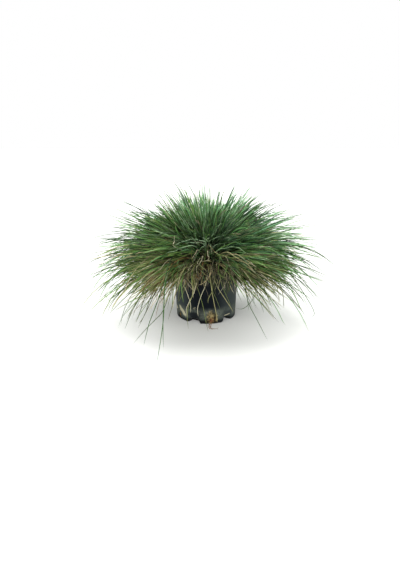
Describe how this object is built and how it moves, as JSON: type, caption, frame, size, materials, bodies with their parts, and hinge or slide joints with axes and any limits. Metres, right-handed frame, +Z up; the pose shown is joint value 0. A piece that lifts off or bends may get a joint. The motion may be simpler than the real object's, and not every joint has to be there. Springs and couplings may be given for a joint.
{
  "type": "potted blue fescue clump",
  "caption": "Rounded clump of fine blue-green grass leaves that arch out of a round black nursery pot standing on moulded feet.",
  "frame": {"origin": "on the floor under the middle of the pot, which is the middle of the clump's box", "axes": "+Z up; -Y towards the picture's camera, so it is the front; +X to the right as seen from the front"},
  "size_m": [0.4842, 0.5311, 0.2543],
  "materials": {
    "pot_plastic": "satin",
    "compost": "matte",
    "leaf_bases": "matte",
    "fescue_leaf": "matte",
    "old_leaf": "matte",
    "root": "matte"
  },
  "bodies": {
    "root": {"nursery_pot": "pot_plastic", "root_ball": "compost", "crown": "leaf_bases", "heart_tuft": "fescue_leaf", "inner_tuft_01": "fescue_leaf", "inner_tuft_02": "fescue_leaf", "inner_tuft_03": "fescue_leaf", "inner_tuft_04": "fescue_leaf", "inner_tuft_05": "fescue_leaf", "upper_tuft_01": "fescue_leaf", "upper_tuft_02": "fescue_leaf", "upper_tuft_03": "fescue_leaf", "upper_tuft_04": "fescue_leaf", "upper_tuft_05": "fescue_leaf", "upper_tuft_06": "fescue_leaf", "upper_tuft_07": "fescue_leaf", "upper_tuft_08": "fescue_leaf", "middle_tuft_01": "fescue_leaf", "middle_tuft_02": "fescue_leaf", "middle_tuft_03": "fescue_leaf", "middle_tuft_04": "fescue_leaf", "middle_tuft_05": "fescue_leaf", "middle_tuft_06": "fescue_leaf", "middle_tuft_07": "fescue_leaf", "middle_tuft_08": "fescue_leaf", "middle_tuft_09": "fescue_leaf", "middle_tuft_10": "fescue_leaf", "middle_tuft_11": "fescue_leaf", "outer_tuft_01": "fescue_leaf", "outer_tuft_02": "fescue_leaf", "outer_tuft_03": "fescue_leaf", "outer_tuft_04": "fescue_leaf", "outer_tuft_05": "fescue_leaf", "outer_tuft_06": "fescue_leaf", "outer_tuft_07": "fescue_leaf", "outer_tuft_08": "fescue_leaf", "outer_tuft_09": "fescue_leaf", "outer_tuft_10": "fescue_leaf", "outer_tuft_11": "fescue_leaf", "skirt_tuft_01": "old_leaf", "skirt_tuft_02": "old_leaf", "skirt_tuft_03": "old_leaf", "skirt_tuft_04": "old_leaf", "skirt_tuft_05": "old_leaf", "skirt_tuft_06": "old_leaf", "skirt_tuft_07": "old_leaf", "skirt_tuft_08": "old_leaf", "skirt_tuft_09": "old_leaf", "skirt_tuft_10": "old_leaf", "skirt_tuft_11": "old_leaf", "long_root": "root", "short_root": "root"}
  },
  "joints": []
}
